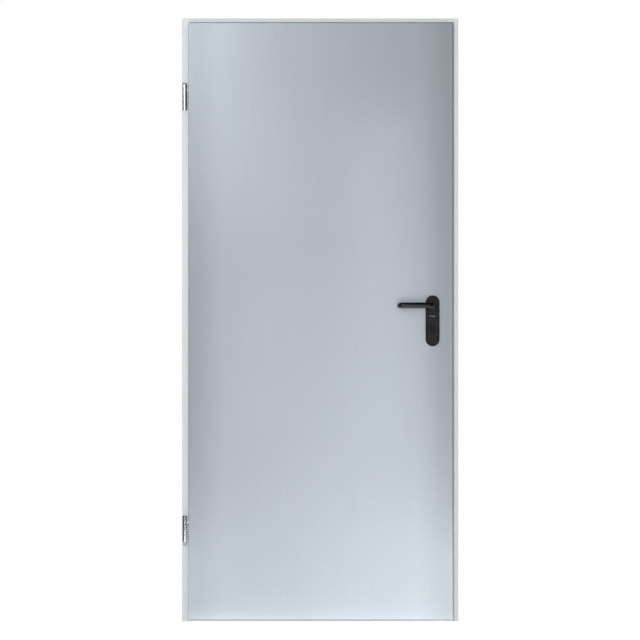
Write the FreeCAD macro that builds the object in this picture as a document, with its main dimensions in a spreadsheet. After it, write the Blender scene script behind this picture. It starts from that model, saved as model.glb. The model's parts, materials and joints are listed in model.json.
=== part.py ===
"""Steel utility door: a rebated 40 mm leaf in a folded steel frame.

Millimetres. X runs to the right as the door is seen from its hinge-knuckle side, Y into
the wall, Z up. X = 0 is the middle of the frame, Y = 0 the face of the wall, and Z = 0 the
floor under the threshold rail.
"""
import FreeCAD, Part
import math
import os
import re

import Sketcher
from FreeCAD import Vector

doc = FreeCAD.newDocument("steel_door")
dims = doc.addObject("Spreadsheet::Sheet", "dims")

SIZES = [
    ("frame_wide", 918, "frame over its outer edges"),
    ("frame_high", 2004, "floor to the top of the frame"),
    ("face_wide", 25, "visible face of the frame"),
    ("frame_proud", 15, "face of the frame in front of the wall"),
    ("lip_wide", 7, "lip that lies on the wall"),
    ("rebate_deep", 25, "face of the frame to its stop"),
    ("stop_wide", 15, "stop that the leaf closes against"),
    ("reveal_deep", 50, "stop to the back edge of the frame"),
    ("back_return", 15, "fold at the back edge of the frame"),
    ("frame_sheet", 1.5, "sheet of the frame"),
    ("bend_inside", 1.5, "inside radius of a fold"),
    ("cut_margin", 1, "reach of a cut past what it goes through"),
    ("rail_front", 12, "threshold rail in front of the wall face"),
    ("rail_high", 12, "upright leg of the threshold rail"),
    ("rail_hole", 6.5, "screw hole in the threshold rail"),
    ("rail_hole_spacing", 200, "between screw holes in the rail"),
    ("rail_hole_back", 2, "screw holes in front of the wall face"),
    ("seal_foot", 10, "foot of the seal on the stop"),
    ("seal_foot_thick", 1.8, "thickness of that foot"),
    ("seal_gap", 0.4, "seal to the closed leaf"),
    ("seal_inset", 2.6, "middle of the seal bulb from the reveal"),
    ("anchor_low", 200, "height of the lowest wall anchors"),
    ("anchor_middle", 1000, "height of the middle wall anchors"),
    ("anchor_top", 1800, "height of the top wall anchors"),
    ("anchor_sheet", 2, "strap of a wall anchor"),
    ("anchor_foot", 9, "foot of the strap on the reveal"),
    ("anchor_pad", 26, "pad of the strap on the wall"),
    ("anchor_reach", 20.5, "reveal sheet to the pad"),
    ("anchor_start", 13, "wall face to the strap's front foot"),
    ("anchor_tall", 40, "height of the strap"),
    ("anchor_hole", 11, "hole for the wall plug"),
    ("access_hole", 16, "hole in the reveal in front of an anchor"),
    ("cap_wide", 20, "head of the cap that closes it"),
    ("cap_thick", 1.2, "thickness of that head"),
    ("cap_stem", 4, "length of the cap's stem"),
    ("cap_play", 0.4, "cap stem in its hole, on the diameter"),
    ("hinge_low", 308, "middle of the lower hinge"),
    ("hinge_spacing", 1435, "between the hinge middles"),
    ("knuckle_wide", 15, "diameter of the hinge knuckle"),
    ("knuckle_high", 90, "height of the whole knuckle"),
    ("knuckle_gap", 5, "knuckle to the leaf edge"),
    ("knuckle_front", 37, "hinge axis in front of the wall face"),
    ("washer_thick", 1, "washer between the halves"),
    ("hinge_cap_high", 6, "domed cap on top of the knuckle"),
    ("hinge_cap_round", 5, "rounding of that cap"),
    ("knuckle_edge", 0.8, "rounding of the knuckle's foot"),
    ("pin_wide", 8, "hinge pin"),
    ("pin_play", 0.2, "pin in the leaf half, on the diameter"),
    ("pin_inset", 5, "end of the pin inside the knuckle"),
    ("neck_high", 9, "neck of the leaf half"),
    ("neck_drop", 18, "top of the knuckle to that neck"),
    ("neck_deep", 10, "that neck, front to back"),
    ("neck_reach", 12, "that neck inside the leaf edge"),
    ("frame_neck_high", 20, "neck of the frame half"),
    ("frame_neck_rise", 11, "bottom of the knuckle to that neck"),
    ("frame_neck_thick", 5, "thickness of that neck"),
    ("neck_play", 0.3, "a neck in its slot, on each side"),
    ("pocket_sheet", 2, "hinge pocket behind the frame face"),
    ("pocket_deep", 9, "depth of that pocket"),
    ("pocket_side", 2, "pocket to the folds of the frame"),
    ("pocket_margin", 10, "pocket above and below the neck"),
    ("hinge_overlap", 3, "leaf over the frame face, hinge side"),
    ("lock_overlap", 7, "leaf over the frame face, lock side"),
    ("head_overlap", 10.5, "leaf over the frame face, head"),
    ("hinge_play", 10, "leaf body to the frame, hinge side"),
    ("lock_play", 6, "leaf body to the frame, lock side"),
    ("head_play", 6, "leaf body to the frame, head"),
    ("floor_play", 5, "leaf to the threshold rail"),
    ("face_play", 5, "rebate flange of the leaf to the frame face"),
    ("flange_thick", 15, "rebate flange of the leaf"),
    ("leaf_thick", 40, "whole leaf"),
    ("skin", 0.8, "sheet of the leaf"),
    ("leaf_bend", 2, "outside radius of the leaf's folds"),
    ("tray_flange", 15, "flange of the back sheet"),
    ("channel_high", 20, "channel in the bottom of the leaf"),
    ("channel_sheet", 1.5, "sheet of that channel"),
    ("lock_pocket_wide", 110, "recess in the core round the lock"),
    ("lock_pocket_spare", 14, "that recess above and below the forend"),
    ("backset", 55, "forend face to the lever axis"),
    ("lever_high", 1050, "floor to the lever axis"),
    ("key_drop", 72, "lever axis to the key axis"),
    ("lock_inset", 11, "back face of the leaf to the lock's middle plane"),
    ("case_behind", 33, "lock case behind the lever axis"),
    ("case_above", 50, "lock case above the lever axis"),
    ("case_below", 115, "lock case below the lever axis"),
    ("case_thick", 15, "lock case"),
    ("forend_wide", 20, "forend plate"),
    ("forend_thick", 3, "forend plate"),
    ("forend_spare", 35, "forend above and below the case"),
    ("stiffener_thick", 3, "plate behind the forend"),
    ("stiffener_play", 1, "that plate to the ends of its recess"),
    ("latch_rise", 12, "lever axis to the latch bolt"),
    ("latch_high", 32, "latch bolt"),
    ("bolt_drop", 36, "lever axis to the dead bolt"),
    ("bolt_high", 34, "dead bolt"),
    ("bolt_thick", 9, "latch bolt and dead bolt"),
    ("bolt_long", 30, "latch bolt and dead bolt inside the case"),
    ("bolt_play", 0.5, "a bolt in its hole, on each side"),
    ("strike_play", 2, "strike hole round a bolt, above and below"),
    ("strike_side", 0.5, "strike hole round a bolt, on each side"),
    ("strike_deep", 16, "box behind the strike holes"),
    ("strike_sheet", 1, "sheet of that box"),
    ("strike_margin", 8, "box above and below its holes"),
    ("strike_length", 200, "length of the jamb's section with the strike holes"),
    ("plate_wide", 46.5, "handle plate"),
    ("plate_above", 33, "handle plate above the lever axis"),
    ("plate_below", 136, "handle plate below the lever axis"),
    ("plate_thick", 8, "handle plate"),
    ("plate_edge", 3, "rounding of the handle plate's rim"),
    ("lever_wide", 19.5, "grip of the lever"),
    ("lever_reach", 118, "lever axis to the tip of the lever"),
    ("lever_out", 40, "handle plate to the middle of the grip"),
    ("lever_bend", 20, "bend from neck to grip"),
    ("tip_bend", 17, "bend from grip to the returned tip"),
    ("tip_back", 19, "middle of the grip to the middle of the round tip"),
    ("collar_wide", 25, "collar at the root of the lever"),
    ("collar_thick", 3, "that collar"),
    ("collar_gap", 0.3, "collar to the handle plate"),
    ("bearing_wide", 20, "pivot of the lever in its plate"),
    ("bearing_deep", 6, "that pivot inside the plate"),
    ("bearing_play", 0.6, "pivot in its bore, on the diameter"),
    ("spindle_wide", 8, "square spindle"),
    ("spindle_hold", 25, "spindle inside each lever"),
    ("follower_wide", 17, "hub that the spindle turns in the lock"),
    ("insert_round", 17, "key insert, its round part"),
    ("insert_slot", 10, "key insert, its flat part"),
    ("insert_high", 33, "key insert, overall"),
    ("insert_proud", 1, "key insert in front of the plate"),
    ("insert_play", 0.5, "key insert in its hole, all round"),
    ("keyway_round", 5, "round part of the keyhole"),
    ("keyway_slot", 2.4, "slot of the keyhole"),
    ("keyway_drop", 9, "keyhole below the middle of its round part"),
    ("keyway_deep", 8, "depth of the keyhole"),
    ("screw_above", 22, "upper plate screw above the lever axis"),
    ("screw_below", 123, "lower plate screw below the lever axis"),
    ("screw_wide", 5, "plate screw"),
    ("screw_play", 0.5, "plate screw in its hole, all round"),
    ("screw_head", 9, "head of a plate screw"),
    ("screw_head_high", 2, "head of a plate screw"),
    ("screw_bite", 5, "plate screw inside the front plate"),
]

for row, (alias, value, note) in enumerate(SIZES, start=1):
    dims.set(f"A{row}", note)
    dims.set(f"B{row}", str(value))
    dims.setAlias(f"B{row}", alias)
doc.recompute()
ALIASES = {alias for alias, value, note in SIZES}


def in_sheet(expression):
    """The expression with the sheet's name in front of each alias."""
    def full_name(word):
        return f"dims.{word[0]}" if word[0] in ALIASES else word[0]

    return re.sub("[a-z_]+", full_name, expression)


def size(expression):
    """The value of an expression of aliases."""
    value = dims.evalExpression(in_sheet(expression))
    return float(getattr(value, "Value", value))


def bind(thing, path, expression):
    thing.setExpression(path, in_sheet(expression))


# Places that several pieces share, as expressions of the sizes
OUTER = "(frame_wide / 2)"
LEG = f"({OUTER} - face_wide)"
REVEAL = f"({LEG} - stop_wide)"
TOP = "frame_high"
LEG_TOP = f"({TOP} - face_wide)"
REVEAL_TOP = f"({LEG_TOP} - stop_wide)"
FACE = "(-frame_proud)"
STOP = "(rebate_deep - frame_proud)"
FRAME_BACK = f"({STOP} + reveal_deep)"

FLANGE_BACK = f"({FACE} - face_play)"
LEAF_FRONT = f"({FLANGE_BACK} - flange_thick)"
LEAF_BACK = f"({LEAF_FRONT} + leaf_thick)"
LEAF_LEFT = f"(-{LEG} - hinge_overlap)"
LEAF_RIGHT = f"({LEG} + lock_overlap)"
LEAF_TOP = f"({LEG_TOP} + head_overlap)"
LEAF_FOOT = "(frame_sheet + floor_play)"
BODY_LEFT = f"(hinge_play - {LEG})"
BODY_RIGHT = f"({LEG} - lock_play)"
BODY_TOP = f"({LEG_TOP} - head_play)"

HINGE_X = f"({LEAF_LEFT} - knuckle_gap - knuckle_wide / 2)"
HINGE_Y = "(-knuckle_front)"
LEVER_X = f"({BODY_RIGHT} - backset)"
LOCK_Y = f"({LEAF_BACK} - lock_inset)"
KEY_Z = "(lever_high - key_drop)"
LATCH_Z = "(lever_high + latch_rise)"
BOLT_Z = "(lever_high - bolt_drop)"
STRIKE_LOW = f"(({LATCH_Z} + {BOLT_Z} - strike_length) / 2)"
STRIKE_TOP = f"(({LATCH_Z} + {BOLT_Z} + strike_length) / 2)"
ANCHOR_Y = "(anchor_start + anchor_foot + anchor_pad / 2)"
ANCHORS = [("low", "anchor_low"), ("middle", "anchor_middle"), ("top", "anchor_top")]
HINGES = [("lower", "hinge_low"), ("upper", "(hinge_low + hinge_spacing)")]
FOREND_TOP = "(lever_high + case_above + forend_spare)"
FOREND_FOOT = "(lever_high - case_below - forend_spare)"

sub_parts = []


def sub_part(thing, name):
    """Label the thing as the sub-part of this name."""
    thing.Label = name
    sub_parts.append(thing)
    return thing


def new_body(name):
    return sub_part(doc.addObject("PartDesign::Body", name), name)


def sketch_on(body, name, role, level):
    """An empty sketch on the body's own plane, moved along its axis to the level."""
    sketch = body.newObject("Sketcher::SketchObject", name)
    plane = next(f for f in body.Origin.OriginFeatures if f.Role == role)
    sketch.AttachmentSupport = [(plane, "")]
    sketch.MapMode = "FlatFace"
    towards = "-" if role == "XZ_Plane" else ""
    bind(sketch, "AttachmentOffset.Base.z", f"{towards}({level})")
    return sketch


def bind_constraint(sketch, kind, where, expression):
    """A dimension of the sketch, tied to an expression of the sizes."""
    index = sketch.addConstraint(Sketcher.Constraint(kind, *where, size(expression)))
    name = f"{kind}{index}"
    sketch.renameConstraint(index, name)
    bind(sketch, f"Constraints.{name}", expression)


def unit(start, end):
    """Direction of a line along an axis, as whole numbers."""
    length = math.hypot(end[0] - start[0], end[1] - start[1])
    return round((end[0] - start[0]) / length), round((end[1] - start[1]) / length)


def draw_path(sketch, corners, closed):
    """Lines through the corners, each an x, a y and a rounding radius or None."""
    points = [(size(x), size(y)) for x, y, radius in corners]
    stations = []
    for place, (x, y, radius) in enumerate(corners):
        if radius is None:
            stations.append((x, y, None))
            continue
        back = unit(points[place], points[place - 1])
        ahead = unit(points[place], points[(place + 1) % len(points)])
        for way, arc in ((back, (radius, back, ahead)), (ahead, None)):
            stations.append((f"{x} + ({way[0]}) * ({radius})", f"{y} + ({way[1]}) * ({radius})", arc))
    count = len(stations) if closed else len(stations) - 1
    places = [Vector(size(x), size(y), 0) for x, y, arc in stations]
    edges = []
    for place in range(count):
        start, end = places[place], places[(place + 1) % len(stations)]
        arc = stations[place][2]
        if arc:
            radius, back, ahead = arc
            turn = size(radius) * (1 - math.sqrt(0.5))
            corner = start - Vector(*back, 0) * size(radius)
            middle = corner + (Vector(*back, 0) + Vector(*ahead, 0)) * turn
            edges.append(sketch.addGeometry(Part.Arc(start, middle, end)))
        else:
            edges.append(sketch.addGeometry(Part.LineSegment(start, end)))

    def end_at(edge, point):
        return 1 if sketch.getPoint(edge, 1).isEqual(point, 1e-6) else 2

    for place, edge in enumerate(edges):
        x, y, arc = stations[place]
        spot = (-1, 1, edge, end_at(edge, places[place]))
        if closed or place > 0:
            before = edges[place - 1]
            joint = (before, end_at(before, places[place]), edge, spot[3])
            sketch.addConstraint(Sketcher.Constraint("Coincident", *joint))
        bind_constraint(sketch, "DistanceX", spot, x)
        bind_constraint(sketch, "DistanceY", spot, y)
        if arc:
            bind_constraint(sketch, "Radius", (edge,), arc[0])
    if not closed:
        x, y, arc = stations[-1]
        spot = (-1, 1, edges[-1], end_at(edges[-1], places[-1]))
        bind_constraint(sketch, "DistanceX", spot, x)
        bind_constraint(sketch, "DistanceY", spot, y)


def box(x_low, x_high, y_low, y_high):
    """Outline: a rectangle."""
    corners = [(x_low, y_low, None), (x_high, y_low, None), (x_high, y_high, None), (x_low, y_high, None)]
    return lambda sketch: draw_path(sketch, corners, True)


def polygon(*corners):
    """Outline: straight lines through the corners."""
    return lambda sketch: draw_path(sketch, [(x, y, None) for x, y in corners], True)


def folded(corners, side, sheet):
    """Outline: folded sheet, its thickness on the left (1) or right (-1) of the corners."""
    points = [(size(x), size(y)) for x, y in corners]
    ways = [unit(start, end) for start, end in zip(points, points[1:])]
    near, far = [], []
    for place, (x, y) in enumerate(corners):
        into = ways[max(place - 1, 0)]
        out = ways[min(place, len(ways) - 1)]
        turn = into[0] * out[1] - into[1] * out[0]
        shift = [-side * into[1], side * into[0]]
        if turn:
            shift = [shift[0] - side * out[1], shift[1] + side * out[0]]
        wide, tight = "bend_inside + " + sheet, "bend_inside"
        radii = (wide, tight) if turn * side > 0 else (tight, wide)
        x_far, y_far = f"{x} + ({shift[0]}) * {sheet}", f"{y} + ({shift[1]}) * {sheet}"
        near.append((x, y, radii[0] if turn else None))
        far.append((x_far, y_far, radii[1] if turn else None))
    return lambda sketch: draw_path(sketch, near + far[::-1], True)


def disc(x, y, diameter):
    """Outline: a circle."""
    def draw(sketch):
        middle = Vector(size(x), size(y), 0)
        circle = sketch.addGeometry(Part.Circle(middle, Vector(0, 0, 1), size(diameter) / 2))
        bind_constraint(sketch, "DistanceX", (-1, 1, circle, 3), x)
        bind_constraint(sketch, "DistanceY", (-1, 1, circle, 3), y)
        bind_constraint(sketch, "Diameter", (circle,), diameter)
    return draw


def round_ends(x, wide_top, z_top, wide_foot, z_foot, wide_slot):
    """Outline: an arc at the top and one at the foot, joined by a slot's straight sides.

    z_top and z_foot are the middles of the arcs; a slot as wide as an arc meets it at its middle.
    """
    def draw(sketch):
        half = f"(({wide_slot}) / 2)"
        top, foot = f"(({wide_top}) / 2)", f"(({wide_foot}) / 2)"
        z_high = f"{z_top} - sqrt({top} * {top} - {half} * {half})"
        z_low = f"{z_foot} + sqrt({foot} * {foot} - {half} * {half})"
        left, right = f"{x} - {half}", f"{x} + {half}"
        corners = [(left, z_high), (left, z_low), (right, z_low), (right, z_high)]
        places = [Vector(size(a), size(b), 0) for a, b in corners]
        below = Vector(size(x), size(f"{z_foot} - {foot}"), 0)
        above = Vector(size(x), size(f"{z_top} + {top}"), 0)
        edges = [
            sketch.addGeometry(Part.LineSegment(places[0], places[1])),
            sketch.addGeometry(Part.Arc(places[1], below, places[2])),
            sketch.addGeometry(Part.LineSegment(places[2], places[3])),
            sketch.addGeometry(Part.Arc(places[3], above, places[0])),
        ]
        for place, edge in enumerate(edges):
            after = edges[(place + 1) % 4]
            sketch.addConstraint(Sketcher.Constraint("Coincident", edge, 2, after, 1))
            bind_constraint(sketch, "DistanceX", (-1, 1, edge, 1), corners[place][0])
            bind_constraint(sketch, "DistanceY", (-1, 1, edge, 1), corners[place][1])
        bind_constraint(sketch, "DistanceY", (-1, 1, edges[1], 3), z_foot)
        bind_constraint(sketch, "DistanceY", (-1, 1, edges[3], 3), z_top)
    return draw


def extrude(body, kind, name, role, outline, start, end):
    """A Pad or a Pocket of the outline, between two levels along the plane's axis."""
    if size(start) > size(end):
        start, end = end, start
    sketch = sketch_on(body, f"{name}_outline", role, start)
    outline(sketch)
    feature = body.newObject(f"PartDesign::{kind}", name)
    feature.Profile = sketch
    bind(feature, "Length", f"({end}) - ({start})")
    feature.Reversed = (kind == "Pocket") != (role == "XZ_Plane")
    sketch.Visibility = False
    return feature


def pad(body, name, role, outline, start, end):
    return extrude(body, "Pad", name, role, outline, start, end)


def pocket(body, name, role, outline, start, end):
    return extrude(body, "Pocket", name, role, outline, start, end)


def round_edges(body, name, radius, wanted):
    """A fillet on the edges of the tip that are wanted."""
    doc.recompute()
    base = body.Tip
    edges = [f"Edge{place}" for place, edge in enumerate(base.Shape.Edges, start=1) if wanted(edge)]
    fillet = body.newObject("PartDesign::Fillet", name)
    fillet.Base = (base, edges)
    bind(fillet, "Radius", radius)
    return fillet


def near(value, expression):
    return abs(value - size(expression)) < 1e-4


def flat_at(edge, axis, expression):
    """Whether the whole edge lies at one place along an axis, 0 for X, 1 for Y, 2 for Z."""
    low = (edge.BoundBox.XMin, edge.BoundBox.YMin, edge.BoundBox.ZMin)[axis]
    high = (edge.BoundBox.XMax, edge.BoundBox.YMax, edge.BoundBox.ZMax)[axis]
    return near(low, expression) and near(high, expression)


# The frame


def frame_section(side, leg, lip_edge):
    """The folded section of the frame, from its wall lip to its back edge.

    side is the sign of the across direction, leg the face of the rebate leg, lip_edge the outer edge.
    """
    out, inner, reveal = f"({side}) * {lip_edge}", f"({side}) * {leg}", f"({side}) * ({leg} - stop_wide)"
    return [
        (f"({side}) * ({lip_edge} - lip_wide)", "0"),
        (out, "0"),
        (out, FACE),
        (inner, FACE),
        (inner, STOP),
        (reveal, STOP),
        (reveal, FRAME_BACK),
        (f"({side}) * ({leg} - stop_wide + back_return)", FRAME_BACK),
    ]


def mitre(body, side, upright):
    """Cut the 45 degree mitre at one top corner, off a jamb or off the head."""
    outer = (f"({side}) * ({OUTER} + cut_margin)", f"{TOP} + cut_margin")
    inner = (f"({side}) * ({REVEAL} - cut_margin)", f"{REVEAL_TOP} - cut_margin")
    third = (inner[0], outer[1]) if upright else (outer[0], inner[1])
    name = "mitre_right" if side == "1" else "mitre_left"
    through = (f"{FACE} - cut_margin", f"{FRAME_BACK} + cut_margin")
    pocket(body, name, "XZ_Plane", polygon(outer, inner, third), *through)


def make_jamb(name, side, start, end):
    """A length of one upright of the frame; side is -1 on the left and 1 on the right."""
    body = new_body(name)
    section = frame_section(side, LEG, OUTER)
    pad(body, "section", "XY_Plane", folded(section, -int(side), "frame_sheet"), start, end)
    if end == TOP:
        mitre(body, side, True)
    for word, level in ANCHORS:
        if size(f"{level} + access_hole / 2") < size(start) or size(f"{level} - access_hole / 2") > size(end):
            continue
        hole = disc(ANCHOR_Y, level, "access_hole")
        through = [f"({side}) * ({REVEAL} - cut_margin)", f"({side}) * ({REVEAL} + frame_sheet + cut_margin)"]
        pocket(body, f"access_{word}", "YZ_Plane", hole, *through)
    return body


def make_head():
    """The head of the frame, between the mitres."""
    body = new_body("frame_head")
    section = [(y, z) for z, y in frame_section("1", LEG_TOP, TOP)]
    pad(body, "section", "YZ_Plane", folded(section, 1, "frame_sheet"), f"-{OUTER}", OUTER)
    mitre(body, "-1", False)
    mitre(body, "1", False)
    return body


def make_rail():
    """The angle on the floor that ties the jambs and stops the leaf at the bottom."""
    body = new_body("threshold_rail")
    back = f"{STOP} + frame_sheet"
    section = [("-rail_front", "0"), (back, "0"), (back, "rail_high")]
    pad(body, "section", "YZ_Plane", folded(section, 1, "frame_sheet"), f"-{REVEAL}", REVEAL)
    places = (("outer_left", -1.5), ("inner_left", -0.5), ("inner_right", 0.5), ("outer_right", 1.5))
    for word, place in places:
        hole = disc(f"{place} * rail_hole_spacing", "-rail_hole_back", "rail_hole")
        pocket(body, f"hole_{word}", "XY_Plane", hole, "-cut_margin", "frame_sheet + cut_margin")
    return body


def seal_outlines(side, reveal):
    """The foot and the round bulb of the seal, across and then front to back."""
    bulb = f"({STOP} - {LEAF_BACK} - seal_gap)"
    middle = f"({side}) * ({reveal} + seal_inset)"
    edge = f"({side}) * ({reveal} + seal_inset + seal_foot)"
    return middle, edge, f"{STOP} - {bulb} / 2", bulb


def make_side_seal(name, side):
    """The seal on the stop of one jamb."""
    body = new_body(name)
    middle, edge, bulb_y, bulb = seal_outlines(side, REVEAL)
    pad(body, "foot", "XY_Plane", box(middle, edge, f"{STOP} - seal_foot_thick", STOP), "0", TOP)
    pad(body, "bulb", "XY_Plane", disc(middle, bulb_y, bulb), "0", TOP)
    mitre(body, side, True)


def make_head_seal():
    """The seal on the stop of the head."""
    body = new_body("seal_head")
    middle, edge, bulb_y, bulb = seal_outlines("1", REVEAL_TOP)
    pad(body, "foot", "YZ_Plane", box(f"{STOP} - seal_foot_thick", STOP, middle, edge), f"-{OUTER}", OUTER)
    pad(body, "bulb", "YZ_Plane", disc(bulb_y, middle, bulb), f"-{OUTER}", OUTER)
    mitre(body, "-1", False)
    mitre(body, "1", False)


def make_anchor(name, side, level):
    """A bent strap behind the reveal, its pad against the wall opening."""
    body = new_body(name)
    foot = f"({side}) * ({REVEAL} + frame_sheet)"
    out = f"({side}) * ({REVEAL} + frame_sheet + anchor_reach)"
    front, back = "(anchor_start + anchor_foot)", "(anchor_start + anchor_foot + anchor_pad)"
    section = [
        (foot, "anchor_start"),
        (foot, front),
        (out, front),
        (out, back),
        (foot, back),
        (foot, f"{back} + anchor_foot"),
    ]
    strap = folded(section, -int(side), "anchor_sheet")
    pad(body, "strap", "XY_Plane", strap, "-anchor_tall / 2", "anchor_tall / 2")
    hole = disc(ANCHOR_Y, "0", "anchor_hole")
    end = f"({side}) * ({REVEAL} + frame_sheet + anchor_reach + anchor_sheet + cut_margin)"
    pocket(body, "plug_hole", "YZ_Plane", hole, out, end)
    bind(body, "Placement.Base.z", level)


def make_caps():
    """The plastic caps in the access holes of both jambs."""
    body = new_body("anchor_caps")
    for side_word, side in (("left", "-1"), ("right", "1")):
        outer, face, inner = (f"({side}) * ({REVEAL} {part})" for part in ("- cap_thick", "", "+ cap_stem"))
        for word, level in ANCHORS:
            head = disc(ANCHOR_Y, level, "cap_wide")
            pad(body, f"head_{side_word}_{word}", "YZ_Plane", head, outer, face)
            stem = disc(ANCHOR_Y, level, "access_hole - cap_play")
            pad(body, f"stem_{side_word}_{word}", "YZ_Plane", stem, face, inner)


def make_strike_box(lock_jamb):
    """The strike holes in the lock jamb, and the box that keeps mortar out of them."""
    half = "(bolt_thick / 2 + strike_side)"
    high = f"({LATCH_Z} + latch_high / 2 + strike_play)"
    low = f"({BOLT_Z} - bolt_high / 2 - strike_play)"
    holes = (
        ("latch", f"{LATCH_Z} - latch_high / 2 - strike_play", high),
        ("bolt", low, f"{BOLT_Z} + bolt_high / 2 + strike_play"),
    )
    through = (f"{LEG} - cut_margin", f"{LEG} + frame_sheet + cut_margin")
    for name, foot, top in holes:
        outline = box(f"{LOCK_Y} - {half}", f"{LOCK_Y} + {half}", foot, top)
        pocket(lock_jamb, f"{name}_hole", "YZ_Plane", outline, *through)
    body = new_body("strike_box")
    start = f"{LEG} + frame_sheet"

    def outline(spare):
        foot, top = f"{low} - strike_margin - {spare}", f"{high} + strike_margin + {spare}"
        return box(f"{LOCK_Y} - {half} - {spare}", f"{LOCK_Y} + {half} + {spare}", foot, top)

    pad(body, "box", "YZ_Plane", outline("strike_sheet"), start, f"{start} + strike_deep")
    inside = (f"{start} - cut_margin", f"{start} + strike_deep - strike_sheet")
    pocket(body, "inside", "YZ_Plane", outline("0"), *inside)


# The hinges


def place_at_hinge(thing, level):
    """Stand a thing made about the hinge axis at the level of its hinge."""
    bind(thing, "Placement.Base.x", HINGE_X)
    bind(thing, "Placement.Base.y", HINGE_Y)
    bind(thing, "Placement.Base.z", level)


def make_hinge(word, level, hinge_jamb, front_sheet):
    """One lift-off hinge: both halves, pin and cap, and what they need in frame and leaf.

    The pieces are made about the hinge axis, with the middle of the knuckle at the origin.
    """
    low, top = "(-knuckle_high / 2)", "(knuckle_high / 2)"
    joint_low, joint_top = "(-washer_thick / 2)", "(washer_thick / 2)"
    neck_low = "(knuckle_high / 2 - neck_drop - neck_high)"
    neck_top = "(knuckle_high / 2 - neck_drop)"
    frame_neck_low = "(-knuckle_high / 2 + frame_neck_rise)"
    frame_neck_top = "(-knuckle_high / 2 + frame_neck_rise + frame_neck_high)"
    pin_low = "(-knuckle_high / 2 + pin_inset)"
    pin_top = "(knuckle_high / 2 - hinge_cap_high - pin_inset)"

    frame_half = new_body(f"hinge_frame_half_{word}")
    pad(frame_half, "knuckle", "XY_Plane", disc("0", "0", "knuckle_wide"), low, joint_low)
    half_neck = "(frame_neck_thick / 2)"
    neck_end = f"({FACE} + frame_sheet + pocket_deep - {HINGE_Y})"
    neck = box(f"-{half_neck}", half_neck, "0", neck_end)
    pad(frame_half, "neck", "XY_Plane", neck, frame_neck_low, frame_neck_top)
    bore = disc("0", "0", "pin_wide")
    pocket(frame_half, "bore", "XY_Plane", bore, pin_low, f"{joint_low} + cut_margin")
    round_edges(frame_half, "foot", "knuckle_edge", lambda edge: flat_at(edge, 2, low))
    place_at_hinge(frame_half, level)

    leaf_half = new_body(f"hinge_leaf_half_{word}")
    skin_y = f"({LEAF_FRONT} + skin - {HINGE_Y})"
    neck_x = f"({LEAF_LEFT} + neck_reach - {HINGE_X})"
    cap_low = f"({top} - hinge_cap_high)"
    pad(leaf_half, "knuckle", "XY_Plane", disc("0", "0", "knuckle_wide"), joint_top, cap_low)
    neck = box("0", neck_x, skin_y, f"{skin_y} + neck_deep")
    pad(leaf_half, "neck", "XY_Plane", neck, neck_low, neck_top)
    bore = disc("0", "0", "pin_wide + pin_play")
    pocket(leaf_half, "bore", "XY_Plane", bore, f"{joint_top} - cut_margin", f"{cap_low} + cut_margin")
    place_at_hinge(leaf_half, level)

    cap = new_body(f"hinge_cap_{word}")
    pad(cap, "disc", "XY_Plane", disc("0", "0", "knuckle_wide"), cap_low, top)
    round_edges(cap, "dome", "hinge_cap_round", lambda edge: flat_at(edge, 2, top))
    place_at_hinge(cap, level)

    pin = sub_part(doc.addObject("Part::Cylinder", f"hinge_pin_{word}"), f"hinge_pin_{word}")
    bind(pin, "Radius", "pin_wide / 2")
    bind(pin, "Height", f"{pin_top} - {pin_low}")
    place_at_hinge(pin, f"{level} + {pin_low}")

    slot = f"({half_neck} + neck_play)"
    frame_slot = box(
        f"{HINGE_X} - {slot}",
        f"{HINGE_X} + {slot}",
        f"{level} + {frame_neck_low} - neck_play",
        f"{level} + {frame_neck_top} + neck_play",
    )
    through = (f"{FACE} - cut_margin", f"{FACE} + frame_sheet + cut_margin")
    pocket(hinge_jamb, f"slot_{word}", "XZ_Plane", frame_slot, *through)
    leaf_slot = box(
        f"{LEAF_FRONT} + skin",
        f"{LEAF_FRONT} + skin + neck_deep + neck_play",
        f"{level} + {neck_low} - neck_play",
        f"{level} + {neck_top} + neck_play",
    )
    through = (f"{LEAF_LEFT} - cut_margin", f"{LEAF_LEFT} + skin + cut_margin")
    pocket(front_sheet, f"neck_slot_{word}", "YZ_Plane", leaf_slot, *through)

    body = new_body(f"hinge_pocket_{word}")
    left = f"(-{OUTER} + frame_sheet + pocket_side)"
    right = f"(-{LEG} - frame_sheet - pocket_side)"
    front = f"({FACE} + frame_sheet)"
    back = f"({front} + pocket_deep)"
    foot = f"{level} + {frame_neck_low} - pocket_margin"
    high = f"{level} + {frame_neck_top} + pocket_margin"
    channel = folded([(left, back), (left, front), (right, front), (right, back)], 1, "pocket_sheet")
    pad(body, "channel", "XY_Plane", channel, foot, high)
    through = (f"{front} - cut_margin", f"{front} + pocket_sheet + cut_margin")
    pocket(body, "slot", "XZ_Plane", frame_slot, *through)


def make_washers():
    """The washers between the halves of both hinges."""
    body = new_body("hinge_washers")
    for word, level in HINGES:
        start, end = f"{level} - washer_thick / 2", f"{level} + washer_thick / 2"
        pad(body, f"disc_{word}", "XY_Plane", disc(HINGE_X, HINGE_Y, "knuckle_wide"), start, end)
        hole = disc(HINGE_X, HINGE_Y, "pin_wide + pin_play")
        pocket(body, f"hole_{word}", "XY_Plane", hole, f"{start} - cut_margin", f"{end} + cut_margin")


# The leaf


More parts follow.
